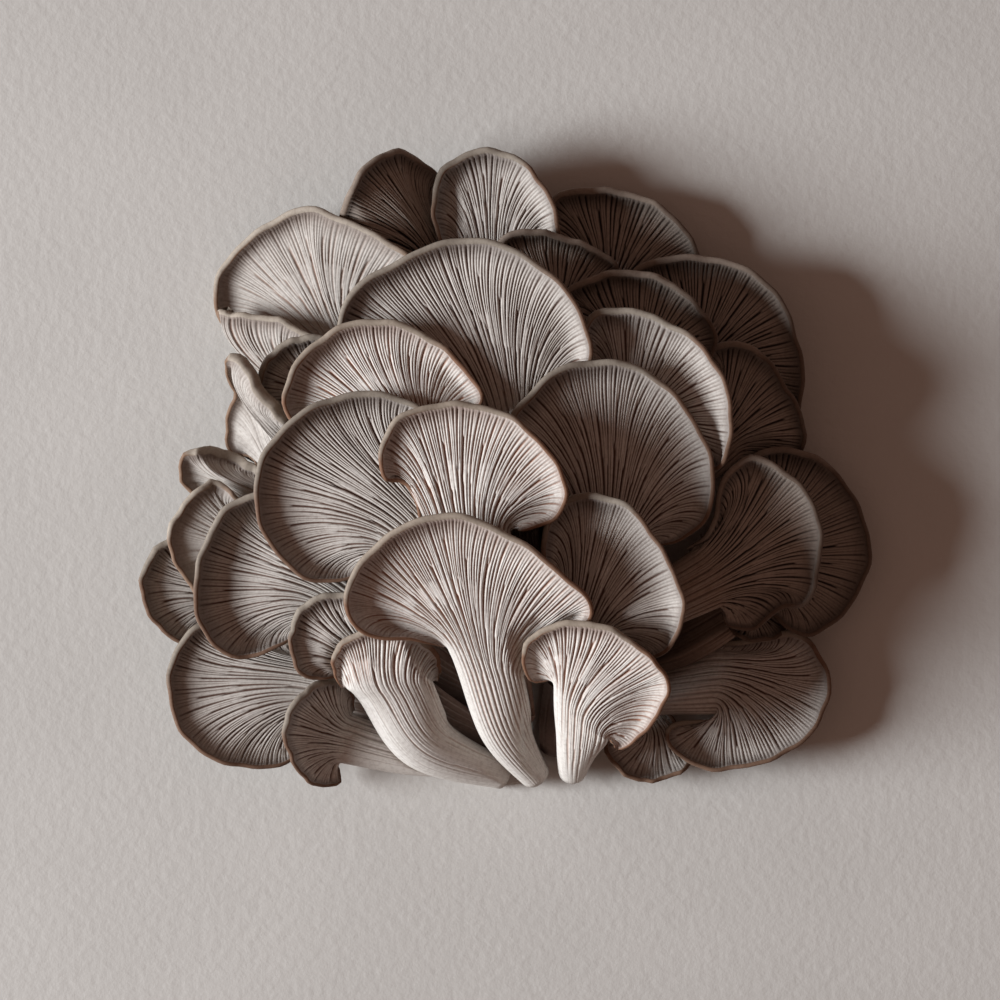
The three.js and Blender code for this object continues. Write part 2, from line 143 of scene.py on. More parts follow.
# How each fruit body is pressed down by those that lie over it.
PRESS_GAP = 0.5
PRESS_CELL = 0.75
PRESS_SLOPE = 0.9
PRESS_REACH = 14  # cells
OPEN_HEIGHT = 1000.0  # the ceiling where nothing lies
BACK_GAP = 0.7  # the least thickness left where a body is folded on itself

# The same stems and margins as the CAD, from the table up.
# stem: [x, y, z of its gill side, half width] at the root, on the way and where the cap begins.
# rim: [x, y, z] round the cap's margin, clockwise from the stem's left side to its right side.
# dish: how deep the cap is, as a share of the usual depth for its neck.
# lean: how many degrees the neck's section is turned to the right, for a cap that grew to one side.
MUSHROOMS = {
    "top_left": {
        "dish": 0.5,
        "stem": [[2, -25, 9.5, 4], [-7, 22, 9.5, 5], [-20, 62, 8, 7]],
        "rim": [[-45, 62, 21], [-50, 73, 26], [-44, 88, 26], [-32, 96, 20], [-20, 89, 10], [-14, 72, 4]],
    },
    "upper_right": {
        "stem": [[12, -28, 9.5, 4], [22, 20, 9.5, 5], [32, 54, 6, 8]],
        "rim": [[18, 60, 8], [13, 72, 10], [16, 82, 11], [28, 85, 12], [42, 82, 12], [54, 73, 12],
                [61, 60, 11], [56, 51, 8]],
    },
    "bottom_small": {
        "stem": [[18, -68, 7, 3.5], [30, -69, 7, 4.5], [43, -76, 7, 6]],
        "rim": [[57, -85, 7.5], [50, -93, 8.5], [40, -94, 9.5], [31, -86, 9.5], [31, -78, 8.5]],
    },
    "far_left": {
        "dish": 0.6,
        "stem": [[-15, -60, 9, 3.5], [-50, -50, 9, 5], [-84, -38, 6.5, 7]],
        "rim": [[-90, -54, 9.5], [-101, -51, 11.5], [-108, -42, 12.5], [-110, -32, 13.5],
                [-104, -23, 13.5], [-91, -20, 12.5]],
    },
    "top_centre": {
        "stem": [[7, -30, 13, 4], [3, 20, 13, 5], [-3, 58, 12, 8]],
        "rim": [[-17, 63, 13], [-22, 78, 14], [-19, 90, 15], [-6, 96, 17], [7, 92, 20], [15, 78, 21],
                [15, 66, 19]],
    },
    "right_upper": {
        "stem": [[18, -38, 11, 4], [40, 0, 11, 6], [58, 30, 9, 9]],
        "rim": [[43, 46, 12], [39, 59, 15], [50, 64, 17], [66, 63, 18], [81, 54, 18], [89, 38, 18],
                [90, 24, 17], [86, 14, 14], [77, 11, 11]],
    },
    "lower_right": {
        "stem": [[14, -72, 10, 5], [40, -67, 11, 7.5], [62, -64, 10, 10]],
        "rim": [[74, -51.5, 12], [88, -50, 12], [97, -59, 12], [98, -70, 13], [91, -81, 13],
                [78, -88, 13], [63, -91, 12], [52, -86, 11], [50, -78, 10]],
    },
    "upper_left": {
        "dish": 0.7,
        "stem": [[-6, -35, 11.5, 4.5], [-27, 3, 12.5, 6.5], [-50, 39, 12, 9]],
        "rim": [[-73, 36, 6], [-86, 45, 6], [-87, 58, 7], [-79, 69, 12], [-62, 78, 18], [-48, 75, 22],
                [-32, 67, 25], [-26, 59, 24], [-30, 50, 19]],
    },
    "left_low": {
        "dish": 0.6,
        "stem": [[0, -76, 10.5, 4.5], [-32, -73, 10.5, 7], [-57, -66, 9, 9.5]],
        "rim": [[-64, -88, 9], [-78, -90, 12], [-93, -84, 14], [-101, -73, 14], [-101, -59, 14],
                [-93, -48, 14], [-80, -45, 13], [-66, -52, 10]],
    },
    "left_small": {
        "dish": 0.5,
        "stem": [[-12, -48, 17, 3], [-45, -26, 18, 4.5], [-73, -10, 18, 6]],
        "rim": [[-88, -12, 18], [-97, -5, 18], [-97, 4, 20], [-88, 6, 24], [-78, 1, 24]],
    },
    "upper_small": {
        "stem": [[12, -10, 20, 3.5], [14, 25, 20, 5], [15, 49, 20, 7]],
        "rim": [[-4, 58, 22], [-6, 65, 23], [4, 71, 24], [18, 70, 24], [29, 65, 24], [34, 58, 23]],
    },
    "right": {
        "stem": [[25, -38, 16, 4], [47, -10, 17, 6], [65, 9, 17, 8]],
        "rim": [[60, 25, 20], [61, 34, 22], [66, 38, 23], [78, 34, 23], [88, 20, 21], [90, 8, 18],
                [85, -2, 16]],
    },
    "left_upper": {
        "dish": 0.5,
        "stem": [[-12, -32, 16, 3.5], [-45, 2, 16, 5], [-62, 20, 15, 6]],
        "rim": [[-69.5, 25, 14], [-73, 30.5, 12.5], [-77.5, 34.5, 11], [-82, 39.5, 10],
                [-85.5, 44.5, 10.5], [-87, 48.5, 12], [-81, 47.5, 15], [-73, 46, 17], [-67, 44.5, 18.5],
                [-61, 41.5, 20], [-55.5, 38.5, 21], [-55, 32, 19]],
    },
    "right_hidden": {
        "dish": 0.5,
        "stem": [[28, -60, 11, 4], [52, -53.5, 12, 6.5], [72, -42, 14, 5.5]],
        "rim": [[84, -41, 16], [84.5, -48, 16], [80, -51.5, 15.5], [73, -51.5, 15], [68, -47, 15]],
    },
    "left_middle": {
        "dish": 0.5,
        "stem": [[-12, -56, 18, 3.5], [-45, -42, 20, 5], [-72, -27, 20, 7]],
        "rim": [[-86, -42, 22], [-96, -34, 24], [-101, -22, 25], [-97, -11, 26], [-90, -4, 26],
                [-86, -4, 25], [-80, -9, 24]],
    },
    "lower_left": {
        "dish": 0.3,
        "stem": [[-12, -90, 5, 3.5], [-29, -86.5, 8, 6], [-47.5, -81.5, 9.5, 7.5]],
        "rim": [[-49.5, -94.5, 7], [-54, -96, 9], [-60.5, -93, 15], [-65, -87, 21], [-66.5, -79.5, 25],
                [-64, -72, 27], [-60, -66.5, 27], [-55, -63.5, 25], [-49, -63.5, 21], [-46, -67.5, 15]],
    },
    "right_outer": {
        "stem": [[22, -52, 8.5, 4], [46, -38, 9.5, 6], [70, -28, 7.5, 8]],
        "rim": [[70, -12, 13.5], [74, 2, 15.5], [86, 6, 14.5], [100, 0, 12.5], [108, -14, 11.5],
                [110, -28, 11.5], [104, -42, 11.5], [92, -50, 12.5], [80, -43, 11.5]],
    },
    "right_upper_inner": {
        "stem": [[20, -25, 20, 4], [30, 5, 22, 6], [39, 30, 22, 8]],
        "rim": [[24, 40, 25], [18, 51, 26], [24, 57, 27], [37, 59, 27], [52, 55, 27], [62, 44, 27],
                [62, 34, 25], [54, 28, 23]],
    },
    "left_dark": {
        "stem": [[-12, -24, 21, 3], [-33, 0, 22, 4.5], [-51, 20, 22, 6]],
        "rim": [[-66, 14, 22], [-74, 22, 23], [-72, 33, 24], [-62, 39, 25], [-50, 38, 25]],
    },
    "left_rolled": {
        "dish": 0.3,
        "stem": [[-10, -45, 21, 3.5], [-40, -24, 21, 5.5], [-68, 5, 20, 7]],
        "rim": [[-76.5, 3.5, 16], [-80, 3.5, 15], [-83.5, 5.5, 15], [-84.5, 10, 15], [-83.5, 17, 17],
                [-82, 23, 20], [-84.5, 28, 24], [-84.5, 32, 28], [-82, 33.5, 30], [-78.5, 31, 31],
                [-74.5, 24, 31], [-70.5, 19.5, 30], [-65.5, 13.5, 26]],
    },
    "left_lower_middle": {
        "dish": 1.3,
        "stem": [[-2, -70, 17, 5], [-26, -56, 21, 8.5], [-52, -38, 24, 9.5]],
        "rim": [[-68, -53, 26], [-78, -57, 27], [-88, -52, 28], [-93, -39, 29], [-91, -24, 30],
                [-82, -11, 32], [-68, -8, 33], [-56, -18, 30]],
    },
    "right_middle": {
        "stem": [[18, -60, 22, 5], [40, -44, 26, 7.5], [60, -33, 25, 9.5]],
        "rim": [[62, -18, 29], [66, -3, 31], [74, 4, 31], [86, -2, 30], [94, -14, 29], [95, -28, 28],
                [91, -40, 27], [84, -41, 25], [80, -43, 24], [75, -48, 24], [67, -47, 24]],
    },
    "right_inner": {
        "stem": [[20, -38, 25, 4.5], [31, -12, 27, 7], [39, 12, 28, 9.5]],
        "rim": [[27, 27, 31], [23, 37, 33], [27, 46, 34], [40, 47, 36], [56, 40, 39], [65, 27, 41],
                [68, 13, 40], [64, 0, 36]],
    },
    "left_inner": {
        "dish": 0.5,
        "stem": [[-2, -82, 13, 3.5], [-24, -71, 20, 7], [-43, -56, 25, 7.5]],
        "rim": [[-60, -62, 26], [-65, -52, 28.5], [-61, -42, 31.5], [-50, -37, 34], [-40, -41, 34]],
    },
    "upper_centre": {
        "dish": 0.8,
        "stem": [[6, -45, 25, 5], [2, -14, 32, 8.5], [-1, 13, 33, 12]],
        "rim": [[-26, 18, 32], [-41, 25, 32], [-50, 36, 32], [-46, 52, 33], [-31, 63, 35], [-13, 69, 36],
                [5, 64, 38], [20, 52, 39], [26, 38, 39], [23, 26, 38]],
    },
    "front_left": {
        "dish": 0.5,
        "lean": 30,
        "stem": [[1.5, -93, 6, 4.5], [-23, -83.5, 19, 9.5], [-34.5, -66.5, 27, 13]],
        "rim": [[-51.5, -61, 25], [-52, -56.5, 27.5], [-49.5, -52.5, 30], [-42, -49, 33],
                [-34.5, -48.5, 34], [-28, -50.5, 34], [-22, -54, 33], [-19, -59, 31]],
    },
    "upper_left_centre": {
        "dish": 0.8,
        "stem": [[0, -45, 27, 4.5], [-14, -15, 34, 8], [-27, 8, 36, 10.5]],
        "rim": [[-49, 7, 34], [-61, 12, 34], [-66, 21, 34], [-61, 34, 35], [-48, 43, 36], [-31, 43, 38],
                [-16, 35, 39], [-7, 21, 39]],
    },
    "centre_right": {
        "stem": [[16, -66, 27, 5], [24, -42, 34, 8], [30, -20, 34, 11]],
        "rim": [[7, 2, 41], [1, 11, 41], [6, 21, 40], [16, 30, 40], [28, 32, 39], [42, 29, 38],
                [55, 18, 37], [62, 3, 36], [61, -12, 35], [53, -21, 33]],
    },
    "left_centre": {
        "dish": 0.8,
        "stem": [[4, -68, 27, 5], [-8, -44, 35, 8.5], [-24, -21, 38, 11.5]],
        "rim": [[-41, -30, 36], [-49, -33, 37], [-60, -32, 38], [-71, -22, 39], [-75, -8, 40],
                [-70, 7, 40], [-57, 19, 41], [-42, 23, 41], [-27, 19, 41], [-16, 6, 41]],
    },
    "right_centre": {
        "stem": [[15, -87, 8, 5], [17, -74, 18, 7], [23, -51, 38, 9]],
        "rim": [[13, -37, 42], [11, -24, 43], [14, -13, 44], [24, -8, 46], [38, -12, 49], [48, -25, 51],
                [53, -40, 50], [50, -52, 45], [41, -58, 38]],
    },
    "centre": {
        "dish": 0.45,
        "stem": [[5, -78, 16, 5], [-2, -50, 38, 9], [-10, -23, 45, 12.5]],
        "rim": [[-26, -12, 42], [-30, -5, 43], [-36, -3, 45], [-37, 6, 46], [-30, 16, 47], [-14, 20, 49],
                [1, 16, 51], [13, 5, 52], [19, -6, 52], [15, -15, 49], [6, -18, 47]],
    },
    "front_centre": {
        "dish": 0.8,
        "lean": 38,
        "stem": [[11, -95, 6, 4.5], [0, -80, 24, 8.5], [-6.5, -60, 37, 12]],
        "rim": [[-27, -51, 39], [-41, -49, 42], [-48, -40, 46], [-40, -24, 52], [-19, -14, 58],
                [2, -19.5, 59], [19, -33, 55], [26, -43, 49], [17, -53, 42]],
    },
    "front_right": {
        "dish": 0.4,
        "lean": 43,
        "stem": [[20.5, -95, 6, 4.3], [20.5, -85.5, 26, 7.4], [20.9, -74.3, 36, 11.5]],
        "rim": [[8.5, -63.5, 34], [5.5, -59, 38], [5, -54.5, 41], [8, -50, 44], [15, -46.5, 47.5],
                [28, -46.5, 50.5], [37, -50, 50.5], [44, -56, 49], [48.5, -62.5, 45.5], [48, -69, 42],
                [44.5, -76, 38], [39.5, -81.5, 34], [34, -84, 31]],
    },
}


def smooth_curve(points, shares):
    """Points of the Catmull-Rom curve through the given points, at shares of its span."""
    points = np.array(points, float)
    ends = np.vstack([2 * points[0] - points[1], points, 2 * points[-1] - points[-2]])
    place = np.clip(shares, 0, 1) * (len(points) - 1)
    step = np.minimum(place.astype(int), len(points) - 2)
    part = (place - step)[:, None]
    before, start, end, after = (ends[step + offset] for offset in range(4))
    return 0.5 * (2 * start + (end - before) * part
                  + (2 * before - 5 * start + 4 * end - after) * part ** 2
                  + (3 * start - before - 3 * end + after) * part ** 3)


def evenly_spaced(points, shares, samples=800):
    """The same curve, at shares of its length."""
    spans = np.linspace(0, 1, samples + 1)
    steps = np.linalg.norm(np.diff(smooth_curve(points, spans), axis=0), axis=1)
    lengths = np.concatenate([[0], np.cumsum(steps)])
    return smooth_curve(points, np.interp(shares, lengths / lengths[-1], spans)), lengths[-1]


def unit(vectors):
    return vectors / np.maximum(np.linalg.norm(vectors, axis=-1, keepdims=True), 1e-9)


def smoothstep(low, high, value):
    share = np.clip((value - low) / (high - low), 0, 1)
    return share * share * (3 - 2 * share)


def stem_sections(stem, lean, shares):
    """The stem's sections: middles, directions and half sizes, one row each."""
    stem = np.array(stem, float)
    shares = np.asarray(shares, float)
    nudge = 1e-3
    ahead = smooth_curve(stem[:, :3], np.minimum(shares + nudge, 1))
    behind = smooth_curve(stem[:, :3], np.maximum(shares - nudge, 0))
    turn = math.radians(lean) * shares[:, None]
    heading = unit(ahead - behind)
    forward = heading * np.cos(turn) + np.cross(heading, UP) * np.sin(turn) + (
        UP * heading[:, 2:] * (1 - np.cos(turn)))
    right = unit(np.cross(forward, UP))
    up = np.cross(right, forward)
    half_width = smooth_curve(stem[:, 3:], shares)
    half_height = half_width * (1 - NECK_FLATTENING * shares[:, None] ** 2)
    middle = smooth_curve(stem[:, :3], shares) - up * half_height
    return {"middle": middle, "heading": heading, "forward": forward, "right": right, "up": up,
            "half_width": half_width, "half_height": half_height}


def on_sections(sections, across):
    """Gill-side points of every section, for columns that run across from 0 to 1."""
    angle = (np.asarray(across) - 0.5)[None, :, None] * math.pi
    return (sections["middle"][:, None]
            + np.sin(angle) * (sections["right"] * sections["half_width"])[:, None]
            + np.cos(angle) * (sections["up"] * sections["half_height"])[:, None])


def margin_points(neck, rim):
    """The listed margin, run on to both sides of the neck."""
    sides = on_sections(neck, [0, 1])[0]
    left = sides[0] - neck["right"][0] * NECK_FLARE
    right = sides[1] + neck["right"][0] * NECK_FLARE
    return [left, *rim, right]


class FruitBody:
    """The smooth surface of one fruit body as grids of points, rows from the root to the margin."""

    def __init__(self, name, shape, seed):
        self.name = name
        self.random = np.random.default_rng(seed)
        stem = shape["stem"]
        self.lean = shape.get("lean", 0.0)
        self.neck = stem_sections(stem, self.lean, [1.0])
        self.neck_width = float(self.neck["half_width"][0, 0])
        self.flesh = FLESH_BASE + FLESH_PER_NECK * self.neck_width
        outline = margin_points(self.neck, shape["rim"])
        self.margin_length = evenly_spaced(outline, np.array([0.0]))[1]
        strong_gills = round(self.margin_length / GILL_SPACING / STRONGEST)
        self.gills = STRONGEST * max(FEWEST_STRONG_GILLS, strong_gills)
        self.across = np.linspace(0, 1, COLUMNS_PER_GILL * self.gills + 1)
        self.side_taper = 1 - (2 * self.across - 1) ** SIDE_TAPER_POWER
        self.lay_stem(stem)
        self.lay_cap(outline, shape.get("dish", 1.0))
        self.front = np.concatenate([self.stem_front, self.cap_front])
        self.row_cap_share = np.concatenate([np.zeros(len(self.stem_share)), self.cap_share])
        self.row_stem_share = np.concatenate([self.stem_share, np.ones(len(self.cap_share))])
        # Painted shade: stems that other bodies cover are painted darker towards the root.
        self.row_root_shade = (1 - self.row_stem_share) * (name not in SHOWN_STEMS)
        self.find_directions()
        self.lay_back()

    def lay_stem(self, stem):
        row_length = SHOWN_STEM_ROW_LENGTH if self.name in SHOWN_STEMS else HIDDEN_STEM_ROW_LENGTH
        stem = np.array(stem, float)
        length = np.linalg.norm(np.diff(stem[:, :3], axis=0), axis=1).sum()
        rows = max(6, round(length / row_length))
        self.stem_share = np.linspace(0, 1, rows, endpoint=False)
        self.sections = stem_sections(stem, self.lean, self.stem_share)
        self.stem_front = on_sections(self.sections, self.across)

    def margin_waves(self):
        """Small waves round the margin, in millimetres."""
        phases = self.random.uniform(0, 2 * math.pi, len(MARGIN_WAVES))
        waves = [height * np.sin(2 * math.pi * count * self.across + phase)
                 for (count, height), phase in zip(MARGIN_WAVES, phases)]
        return np.sum(waves, axis=0) * self.side_taper

    def lay_margin(self, outline):
        """The margin's row of points, which lies a little inside the outline."""
        nudge = 0.004
        along = (evenly_spaced(outline, np.minimum(self.across + nudge, 1))[0]
                 - evenly_spaced(outline, np.maximum(self.across - nudge, 0))[0])
        self.outward = unit(np.stack([-along[:, 1], along[:, 0], np.zeros(len(along))], axis=1))
        waves = self.margin_waves()
        end = evenly_spaced(outline, self.across)[0]
        end = end - self.outward * (MARGIN_INSET * self.side_taper - waves)[:, None]
        end[:, 2] += waves
        side = ROLLED_SIDE if self.name in ROLLED_LIPS else THICK_SIDE
        lip = ROLLED_LIPS.get(self.name, THICK_MARGIN)
        self.thick_margin = smoothstep(0.1, 1.0, self.outward @ np.array(side))
        self.margin_thickness = THIN_MARGIN + (lip - THIN_MARGIN) * self.thick_margin
        self.margin_rounding = THIN_ROUNDING + (THICK_ROUNDING - THIN_ROUNDING) * self.thick_margin
        return end

    def lay_cap(self, outline, dish_share):
        """The cap's rows of points, from the neck out to the margin."""
        start = on_sections(self.neck, self.across)[0]
        end = self.lay_margin(outline)
        forward = unit(self.neck["heading"][0] * [1, 1, 0])
        reach = np.linalg.norm((end - start)[:, :2], axis=1)[:, None]
        room = np.minimum(1, reach[:, 0] / (FULL_DISH_REACH * self.neck_width))
        dish = room * dish_share * (DISH_BASE + DISH_PER_NECK * self.neck_width)
        rise = room * min(1, dish_share) * EDGE_RISE * self.side_taper
        rows = max(10, round(float(reach.max()) / CAP_ROW_LENGTH))
        self.cap_share = np.linspace(0, 1, rows) ** ROW_CROWDING
        share = self.cap_share[:, None, None]
        cap = (start * (2 * share ** 3 - 3 * share ** 2 + 1)
               + forward * (share ** 3 - 2 * share ** 2 + share) * reach * GILL_PULL
               + end * (3 * share ** 2 - 2 * share ** 3)
               + self.outward * (share ** 3 - share ** 2) * reach * GILL_PULL)
        share = self.cap_share[:, None]
        sag = share ** 4 * (1 - share) / (0.8 ** 4 * 0.2)  # 1 where it is deepest, at 0.8 of the way
        from_margin = (1 - share) * reach[:, 0] / EDGE_RISE_REACH
        still_to_climb = share ** 2 * from_margin * np.exp(1 - from_margin)
        cap[:, :, 2] = start[:, 2] * (1 - share) + end[:, 2] * share - dish * sag - rise * still_to_climb
        self.cap_front = cap
        self.paint_margin_shade(reach[:, 0])

    def paint_margin_shade(self, reach):
        """Painted shade on the gills: most at the margin, and less with every millimetre inside it."""
        inside = (1 - self.cap_share[:, None]) * reach
        shaded_side = smoothstep(-0.3, 0.7, self.outward[:, :2] @ np.array(MARGIN_SHADE_SIDE))
        wide_reach = np.minimum(MARGIN_SHADE_REACH, MARGIN_SHADE_SHARE * reach)
        wide_band = ((LEAST_MARGIN_SHADE + (1 - LEAST_MARGIN_SHADE) * shaded_side)
                     * (1 - smoothstep(0.5, wide_reach, inside)))
        narrow_band = (1 - self.thick_margin) * (1 - smoothstep(0.3, NARROW_REACH, inside))
        self.browned = np.maximum(wide_band, narrow_band)

    def find_directions(self):
        across = np.gradient(self.front, axis=1)
        along = np.gradient(self.front, axis=0)
        self.facing = unit(np.cross(across, along))
        self.gill_step = np.linalg.norm(across, axis=2) * COLUMNS_PER_GILL

    def lay_back(self):
        """Back rows with fewer columns, the outer two of them shared with the gill side."""
        picked = slice(0, None, BACK_STRIDE)
        self.back_across = self.across[picked]
        cosine = np.cos((self.back_across - 0.5) * math.pi)[None, :, None]
        under_stem = self.stem_front[:, picked] - (
            2 * cosine * (self.sections["up"] * self.sections["half_height"])[:, None])
        share = self.cap_share[:, None, None]
        margin = self.margin_thickness[None, picked, None]
        stem_depth = 2 * self.neck["half_height"][0, 0] * cosine
        cap_depth = (self.flesh + (margin - self.flesh) * share) * self.side_taper[None, picked, None]
        depth = stem_depth + (cap_depth - stem_depth) * (1 - (1 - share) ** 2)
        turn = np.minimum(1, 3 * share)
        facing = self.facing[len(self.stem_share):, picked]
        direction = unit(self.neck["up"][0] * (1 - turn) + facing * turn)
        under_cap = self.cap_front[:, picked] - direction * depth
        self.back = np.concatenate([under_stem, under_cap])

    def press_down(self, press):
        """Move both sides down by the given depths, one for each point of the gill side."""
        self.front[:, :, 2] -= press
        self.back[:, :, 2] -= press[:, ::BACK_STRIDE]
        self.back[:, :, 2] = np.maximum(self.back[:, :, 2], 0)
        self.front[:, :, 2] = np.maximum(self.front[:, :, 2], 0)
        self.find_directions()
        self.tuck_back()
        thickness = np.linalg.norm(self.back - self.front[:, ::BACK_STRIDE], axis=2)
        self.thickness = np.stack([np.interp(self.across, self.back_across, row) for row in thickness])

    def tuck_back(self):
        """Keep the back below the gill side, where the body is folded on itself."""
        own = Ceiling([self])
        own.lower_to(self.front)
        self.back[:, :, 2] = np.minimum(self.back[:, :, 2], own.over(self.back) - BACK_GAP)
        self.back[:, :, 2] = np.maximum(self.back[:, :, 2], 0)


def refined(grid, spacing):
    """The grid's points and points between them, no further apart than the spacing."""
    for axis in (0, 1):
        gaps = np.linalg.norm(np.diff(grid, axis=axis), axis=2)
        parts = max(1, math.ceil(float(gaps.max()) / spacing))
        count = grid.shape[axis]
        place = np.linspace(0, count - 1, (count - 1) * parts + 1)
        step = np.minimum(place.astype(int), count - 2)
        share = (place - step).reshape((-1, 1, 1) if axis == 0 else (1, -1, 1))
        grid = np.take(grid, step, axis) * (1 - share) + np.take(grid, step + 1, axis) * share
    return grid.reshape(-1, 3)


class Ceiling:
    """How low the surfaces laid so far come, over a grid on the table."""

    def __init__(self, bodies):
        sides = [side for body in bodies for side in (body.front, body.back)]
        every = np.concatenate([side.reshape(-1, 3) for side in sides])
        self.low = every.min(axis=0)[:2] - 10
        size = np.ceil((every.max(axis=0)[:2] + 10 - self.low) / PRESS_CELL).astype(int) + 2
        self.heights = np.full(size, OPEN_HEIGHT)

    def cells(self, points):
        return (points[..., :2] - self.low) / PRESS_CELL

    def lower_to(self, surface):
        """Bring the ceiling down to a surface."""
        points = refined(surface, 0.8 * PRESS_CELL)
        column, row = np.round(self.cells(points)).astype(int).T
        np.minimum.at(self.heights, (column, row), points[:, 2])

    def add(self, body):
        """Take in a body's underside, and a slope that rises all round it."""
        own = copy.copy(self)
        own.heights = np.full(self.heights.shape, OPEN_HEIGHT)
        own.lower_to(body.back)
        rise = PRESS_CELL * PRESS_SLOPE
        steps = [(x, y) for x in (-1, 0, 1) for y in (-1, 0, 1) if x or y]
        for _ in range(PRESS_REACH):
            own.heights = np.min([own.heights] + [np.roll(own.heights, step, (0, 1))
                                                  + rise * math.hypot(*step) for step in steps], axis=0)
        self.heights = np.minimum(self.heights, own.heights)

    def over(self, points):
        """The ceiling's height over each point."""
        cell = self.cells(points)
        step = np.floor(cell).astype(int)
        share = cell - step
        column, row = step[..., 0], step[..., 1]
        along, up = share[..., 0], share[..., 1]
        heights = self.heights
        return ((heights[column, row] * (1 - along) + heights[column + 1, row] * along) * (1 - up)
                + (heights[column, row + 1] * (1 - along) + heights[column + 1, row + 1] * along) * up)


def softened(grid, times=3):
    """The grid with every value averaged with its neighbours."""
    for _ in range(times):
        padded = np.pad(grid, 1, mode="edge")
        grid = (padded[:-2, 1:-1] + padded[2:, 1:-1] + padded[1:-1, :-2] + padded[1:-1, 2:]
                + 2 * padded[1:-1, 1:-1]) / 6
    return grid


def press_together(bodies):
    """Bend every fruit body down under those that lie over it."""
    ceiling = Ceiling(bodies)
    for body in reversed(bodies):
        above = body.front[:, :, 2] - (ceiling.over(body.front) - PRESS_GAP)
        body.press_down(softened(np.maximum(above, 0)))
        ceiling.add(body)


def gill_level(number):
    """How many gills apart the gills of this one's rank stand."""
    for level in (STRONGEST, 4, 2):
        if (number + level // 2) % level == 0:
            return level
    return 1


def gill_pattern(body):
    """The gills over the whole gill side: their height (1 on an edge, 0 in a gap), tone and pitch."""
    step = body.gill_step
    rows = np.arange(len(step))[:, None]
    numbers = np.arange(-STRONGEST, body.gills + STRONGEST + 1)
    level = np.array([gill_level(number) for number in numbers])
    eagerness = body.random.uniform(0.8, 1.2, len(numbers))
    shift = body.random.uniform(-GILL_SHIFT, GILL_SHIFT, len(numbers)) * np.maximum(level, 1.5)
    sway = body.random.uniform(0, 2 * math.pi, len(numbers))
    full_height = np.array([LEVEL_HEIGHTS[rank] for rank in level])
    full_height = full_height * body.random.uniform(0.88, 1.0, len(numbers))

    column = np.arange(step.shape[1])[None, :] / COLUMNS_PER_GILL
    insertion_gap = INSERTION_GAP * (1 - 0.4 * body.row_cap_share[:, None] ** 4)
    side = {sign: np.full(step.shape, 1e3) for sign in (1, -1)}
    nearest = np.full(step.shape, 1e3)
    height = np.zeros(step.shape)
    tone = np.zeros(step.shape)
    for offset in range(-STRONGEST, STRONGEST + 2):
        index = np.clip(np.floor(column).astype(int) + offset + STRONGEST, 0, len(numbers) - 1)
        centre = numbers[index] + shift[index] + GILL_SWAY * np.sin(SWAY_PER_ROW * rows + sway[index])
        away = (column - centre) * step
        room = 2 * level[index] * step
        started = (level[index] == STRONGEST) | (room > insertion_gap * eagerness[index])
        for sign, distance in side.items():
            beyond = started & (away * sign >= 0)
            side[sign] = np.where(beyond, np.minimum(distance, away * sign), distance)
        closer = started & (np.abs(away) < nearest)
        nearest = np.where(closer, np.abs(away), nearest)
        height = np.where(closer, full_height[index], height)
        tone = np.where(closer, eagerness[index], tone)
    pitch = side[1] + side[-1]
    height = height * (1 - smoothstep(EDGE_SHARE, 0.5, nearest / np.maximum(pitch, 1e-6)))
    return height, (tone - 0.8) / 0.4, pitch


def gill_depths(body, pitch):
    """How deep the gaps between gills are over the gill side, in millimetres."""
    left, right = STEM_GILLS
    smooth_side = smoothstep(*left, body.across) * (1 - smoothstep(*right, body.across))
    gap_ends = body.random.uniform(*GAP_ENDS, body.gills // STRONGEST + 2)
    gap_end = gap_ends[np.floor(body.across * body.gills / STRONGEST + 0.5).astype(int)]
    fading = smoothstep(gap_end - 0.1, gap_end + 0.4, body.stem_share[:, None])
    down_stem = STEM_RIDGE_DEPTH * (0.3 + 0.7 * body.stem_share[:, None]) * fading * smooth_side
    share = body.cap_share[:, None]
    open_cap = STEM_RIDGE_DEPTH + (GILL_DEPTH - STEM_RIDGE_DEPTH) * smoothstep(0, 0.3, share)
    sides = smooth_side + (1 - smooth_side) * smoothstep(0, 0.35, share)
    depth = np.concatenate([down_stem, open_cap * sides * (1 - smoothstep(GILL_END, 1, share))])
    depth = depth * FAINT_GILLS.get(body.name, 1.0)
    return depth * np.minimum(1, body.thickness / FULL_FLESH) * np.minimum(1, pitch / FULL_PITCH)


